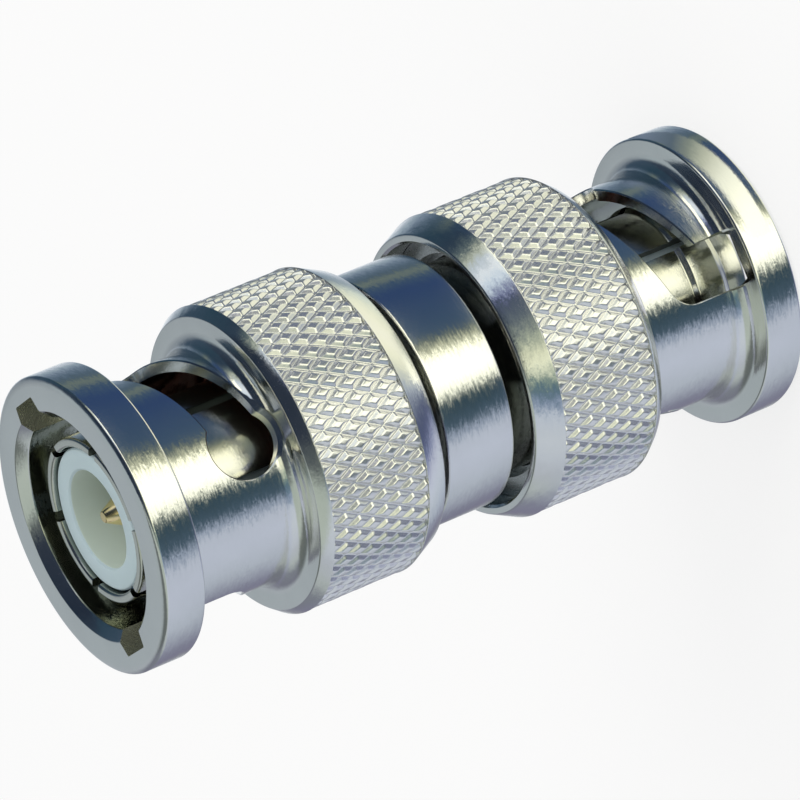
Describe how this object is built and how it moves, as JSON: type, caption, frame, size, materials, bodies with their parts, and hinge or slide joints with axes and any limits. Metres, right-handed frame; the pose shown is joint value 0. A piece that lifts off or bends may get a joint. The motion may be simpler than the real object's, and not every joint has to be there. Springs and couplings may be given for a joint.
{
  "type": "bnc plug-to-plug adapter",
  "caption": "Nickel-plated coaxial bayonet adapter, plug to plug, with knurled coupling nuts that turn and pull back on springs, standing on end.",
  "frame": {"origin": "on the adapter's axis, in the plane of the lower mouth that it stands on", "axes": "+Z along the axis towards the upper mouth, +X towards the round hole of the lower nut's slot"},
  "size_m": [0.0144, 0.0144, 0.0342],
  "materials": {
    "nickel": "bright nickel plate over brass",
    "contact_plate": "bright plate over spring brass",
    "white_insulator": "waxy white PTFE",
    "gold": "gold plate",
    "red_rubber": "matte silicone rubber",
    "spring_steel": "plain spring steel"
  },
  "bodies": {
    "core": {"centre_barrel": "nickel", "end_body_a": "nickel", "end_body_b": "nickel", "outer_contact_a": "contact_plate", "outer_contact_b": "contact_plate", "insulator_a": "white_insulator", "insulator_b": "white_insulator", "centre_contact": "gold", "centre_bead": "white_insulator", "gasket_a": "red_rubber", "gasket_b": "red_rubber", "wave_washer_a": "spring_steel", "wave_washer_b": "spring_steel"},
    "slider_a": {"thrust_washer_a": "spring_steel"},
    "slider_b": {"thrust_washer_b": "spring_steel"},
    "nut_a": {"coupling_nut_a": "nickel", "retaining_ring_a": "spring_steel"},
    "nut_b": {"coupling_nut_b": "nickel", "retaining_ring_b": "spring_steel"}
  },
  "joints": [
    {"name": "nut_a_slide", "type": "slide", "parent": "core", "child": "slider_a", "axis": [0, 0, 1], "range_m": [0, 0.0006], "stiffness_N_per_m": 6000, "springref_m": -0.0004, "deforming": ["wave_washer_a"]},
    {"name": "nut_a_turn", "type": "hinge", "parent": "slider_a", "child": "nut_a", "pos_m": [0, 0, 0.027], "axis": [0, 0, 1], "continuous": true},
    {"name": "nut_b_slide", "type": "slide", "parent": "core", "child": "slider_b", "axis": [0, 0, -1], "range_m": [0, 0.0006], "stiffness_N_per_m": 6000, "springref_m": -0.0004, "deforming": ["wave_washer_b"]},
    {"name": "nut_b_turn", "type": "hinge", "parent": "slider_b", "child": "nut_b", "pos_m": [0, 0, 0.0072], "axis": [0, 0, 1], "continuous": true}
  ]
}
